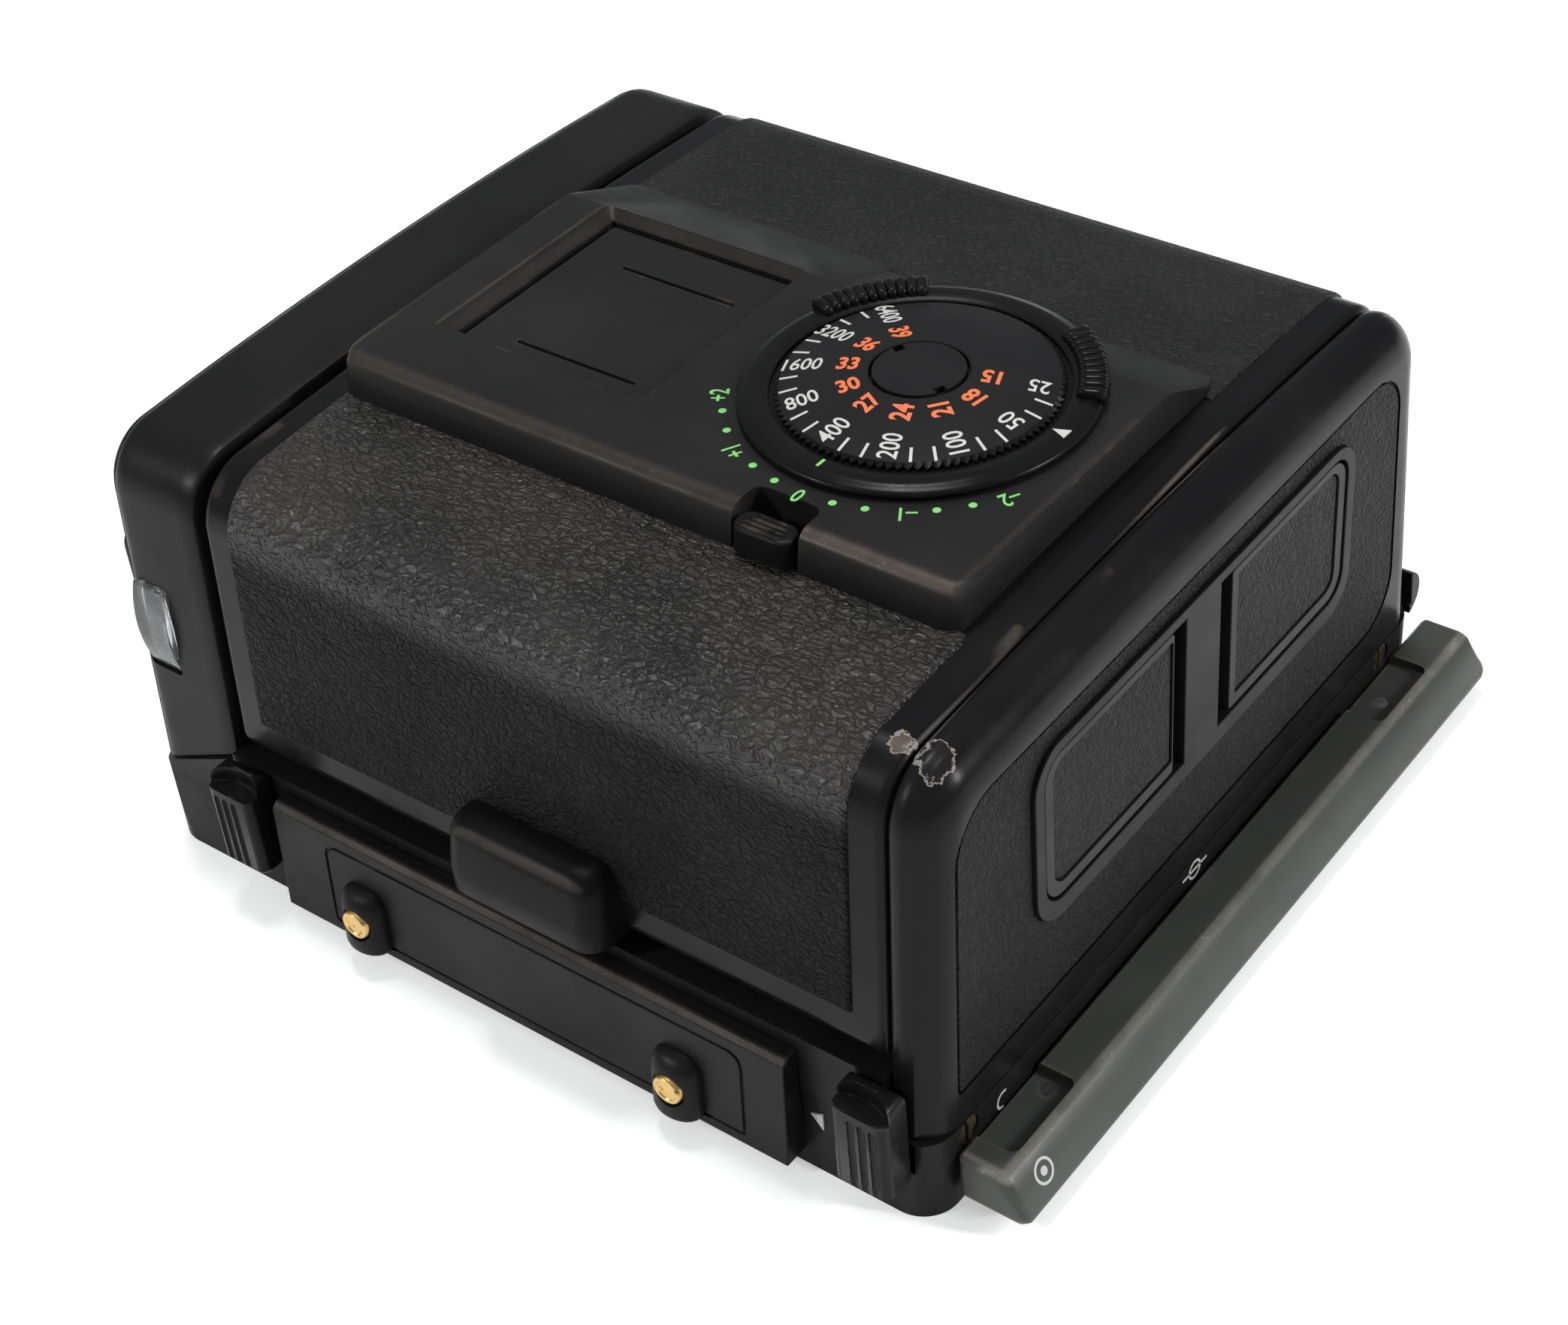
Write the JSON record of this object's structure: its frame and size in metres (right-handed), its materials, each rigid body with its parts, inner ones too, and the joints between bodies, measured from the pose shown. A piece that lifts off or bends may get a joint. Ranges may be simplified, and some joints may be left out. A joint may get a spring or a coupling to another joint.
{
  "type": "roll-film magazine",
  "caption": "Interchangeable roll-film magazine for a medium-format camera, with dark slide, film insert, film speed dial and winding crank.",
  "frame": {"origin": "centre of the film gate in the mating face, the face that lies on the table", "axes": "+Z away from the camera to the rear of the magazine; +X along the spool axes, towards the end where the dark slide and the insert pull out; -Y towards the wall with the contact strip"},
  "size_m": [0.1025, 0.0907, 0.0534],
  "materials": {
    "base_plastic": "satin black moulding",
    "shell_paint": "satin black paint, bright where worn",
    "cap_plastic": "satin black moulding",
    "plate_paint": "satin black paint, bright where worn",
    "leather": "coarse black pebbled leatherette",
    "felt": "black felt",
    "steel": "turned steel",
    "slide_steel": "rolled sheet",
    "spring_steel": "drawn wire",
    "ring_plastic": "satin black",
    "disc_plastic": "matt black with printed film speeds",
    "strip_plastic": "satin black moulding",
    "trim_plastic": "satin black moulding",
    "button_plastic": "pebbled black moulding",
    "catch_plastic": "ribbed black moulding",
    "gold": "gold plated contact",
    "window_clear": "clear moulding",
    "drum_white": "white drum",
    "gear_nylon": "natural nylon",
    "brass": "cut brass",
    "crank_black": "satin black paint",
    "handle_paint": "grey-green satin paint, rubbed",
    "insert_plastic": "dark moulding",
    "spool_plastic": "black moulding",
    "roller_metal": "turned",
    "pressure_black": "matt black paint",
    "screw_brass": "blackened, worn to brass in the slot",
    "screw_black": "blackened"
  },
  "bodies": {
    "magazine": {"base_frame": "base_plastic", "gate_seal": "felt", "housing": "shell_paint", "left_cap": "cap_plastic", "front_leather": "leather", "back_leather": "leather", "dial_plate": "plate_paint", "contact_strip": "strip_plastic", "contact_pins": "gold", "guide_block": "strip_plastic", "rear_lugs": "base_plastic", "counter_window": "window_clear", "gear_studs": "steel", "slide_seal": "felt", "side_screws": "screw_brass", "base_screws": "screw_black"},
    "film_insert": {"end_cover": "shell_paint", "end_leather": "leather", "latch_trim": "trim_plastic", "insert_frame": "insert_plastic", "insert_bridge": "insert_plastic", "spool_pins": "steel", "roller_pins": "steel", "pressure_springs": "spring_steel"},
    "compensation_dial": {"compensation_ring": "ring_plastic", "dial_post": "steel", "dial_nut": "ring_plastic"},
    "film_speed_dial": {"speed_disc": "disc_plastic"},
    "dial_lock": {"lock_button": "ring_plastic"},
    "left_release": {"catch_left": "catch_plastic"},
    "right_release": {"catch_right": "catch_plastic"},
    "counter": {"counter_drum": "drum_white", "counter_gear": "gear_nylon"},
    "winding_crank": {"crank_shaft": "crank_black", "crank_gear": "gear_nylon", "crank_pin": "steel"},
    "folding_arm": {"crank_arm": "crank_black"},
    "idler": {"idler_gear": "gear_nylon"},
    "transfer": {"transfer_gear": "gear_nylon"},
    "camera_coupling": {"coupling_gear": "brass"},
    "dark_slide": {"dark_slide_blade": "slide_steel", "dark_slide_handle": "handle_paint", "handle_rivets": "steel"},
    "interlock": {"interlock_pin": "steel"},
    "front_squeeze_button": {"squeeze_button_front": "button_plastic", "latch_hook_front": "steel"},
    "back_squeeze_button": {"squeeze_button_back": "button_plastic", "latch_hook_back": "steel"},
    "supply": {"supply_spool": "spool_plastic"},
    "takeup": {"takeup_spool": "spool_plastic", "takeup_shaft": "steel"},
    "supply_roller": {"film_roller_supply": "roller_metal"},
    "takeup_roller": {"film_roller_takeup": "roller_metal"},
    "pressure": {"pressure_plate": "pressure_black"}
  },
  "joints": [
    {"name": "insert_slide", "type": "slide", "parent": "magazine", "child": "film_insert", "axis": [1, 0, 0], "range_m": [0, 0.095]},
    {"name": "dark_slide_pull", "type": "slide", "parent": "magazine", "child": "dark_slide", "axis": [1, 0, 0], "range_m": [0, 0.082]},
    {"name": "front_button_squeeze", "type": "slide", "parent": "film_insert", "child": "front_squeeze_button", "axis": [0, 1, 0], "range_m": [0, 0.0016], "stiffness_N_per_m": 300},
    {"name": "back_button_squeeze", "type": "slide", "parent": "film_insert", "child": "back_squeeze_button", "axis": [0, -1, 0], "range_m": [0, 0.0016], "stiffness_N_per_m": 300},
    {"name": "left_release_push", "type": "slide", "parent": "magazine", "child": "left_release", "axis": [1, 0, 0], "range_m": [0, 0.0012], "stiffness_N_per_m": 200},
    {"name": "right_release_push", "type": "slide", "parent": "magazine", "child": "right_release", "axis": [-1, 0, 0], "range_m": [0, 0.0012], "stiffness_N_per_m": 200},
    {"name": "dial_lock_press", "type": "slide", "parent": "magazine", "child": "dial_lock", "axis": [0, 1, 0], "range_m": [0, 0.001], "stiffness_N_per_m": 200},
    {"name": "interlock_press", "type": "slide", "parent": "magazine", "child": "interlock", "axis": [0, 0, 1], "range_m": [0, 0.0006], "stiffness_N_per_m": 100},
    {"name": "compensation_turn", "type": "hinge", "parent": "magazine", "child": "compensation_dial", "pos_m": [0.019, -0.0017, 0.0507], "axis": [0, 0, 1], "range_deg": [-45, 45]},
    {"name": "film_speed_turn", "type": "hinge", "parent": "compensation_dial", "child": "film_speed_dial", "pos_m": [0.019, -0.0017, 0.0507], "axis": [0, 0, 1], "range_deg": [-120, 120]},
    {"name": "crank_turn", "type": "hinge", "parent": "magazine", "child": "winding_crank", "pos_m": [-0.046, 0.0242, 0.0263], "axis": [1, 0, 0], "continuous": true},
    {"name": "arm_fold", "type": "hinge", "parent": "winding_crank", "child": "folding_arm", "pos_m": [-0.04855, 0.0282, 0.0263], "axis": [0, 0, -1], "range_deg": [0, 180]},
    {"name": "idler_turn", "type": "hinge", "parent": "magazine", "child": "idler", "pos_m": [-0.0403, 0.0021, 0.0263], "axis": [1, 0, 0], "continuous": true},
    {"name": "transfer_turn", "type": "hinge", "parent": "magazine", "child": "transfer", "pos_m": [-0.0403, -0.01724, 0.0263], "axis": [1, 0, 0], "continuous": true},
    {"name": "counter_turn", "type": "hinge", "parent": "magazine", "child": "counter", "pos_m": [-0.0403, -0.03145, 0.0263], "axis": [1, 0, 0], "continuous": true},
    {"name": "coupling_turn", "type": "hinge", "parent": "magazine", "child": "camera_coupling", "pos_m": [-0.0403, 0.0021, 0.00854], "axis": [1, 0, 0], "continuous": true},
    {"name": "takeup_turn", "type": "hinge", "parent": "film_insert", "child": "takeup", "pos_m": [0, 0.0242, 0.0263], "axis": [1, 0, 0], "continuous": true},
    {"name": "supply_turn", "type": "hinge", "parent": "film_insert", "child": "supply", "pos_m": [0, -0.0242, 0.0263], "axis": [1, 0, 0], "continuous": true},
    {"name": "supply_roller_turn", "type": "hinge", "parent": "film_insert", "child": "supply_roller", "pos_m": [0, -0.034, 0.0128], "axis": [1, 0, 0], "continuous": true},
    {"name": "takeup_roller_turn", "type": "hinge", "parent": "film_insert", "child": "takeup_roller", "pos_m": [0, 0.034, 0.0128], "axis": [1, 0, 0], "continuous": true},
    {"name": "pressure_lift", "type": "slide", "parent": "film_insert", "child": "pressure", "axis": [0, 0, 1], "range_m": [0, 0.0012], "stiffness_N_per_m": 400, "deforming": ["pressure_springs"]}
  ],
  "couplings": [
    {"joint": "idler_turn", "follows": "crank_turn", "ratio": -1},
    {"joint": "transfer_turn", "follows": "crank_turn", "ratio": 1.3333},
    {"joint": "counter_turn", "follows": "crank_turn", "ratio": -1.8667},
    {"joint": "coupling_turn", "follows": "crank_turn", "ratio": 1.6471},
    {"joint": "takeup_turn", "follows": "crank_turn", "ratio": 1}
  ]
}
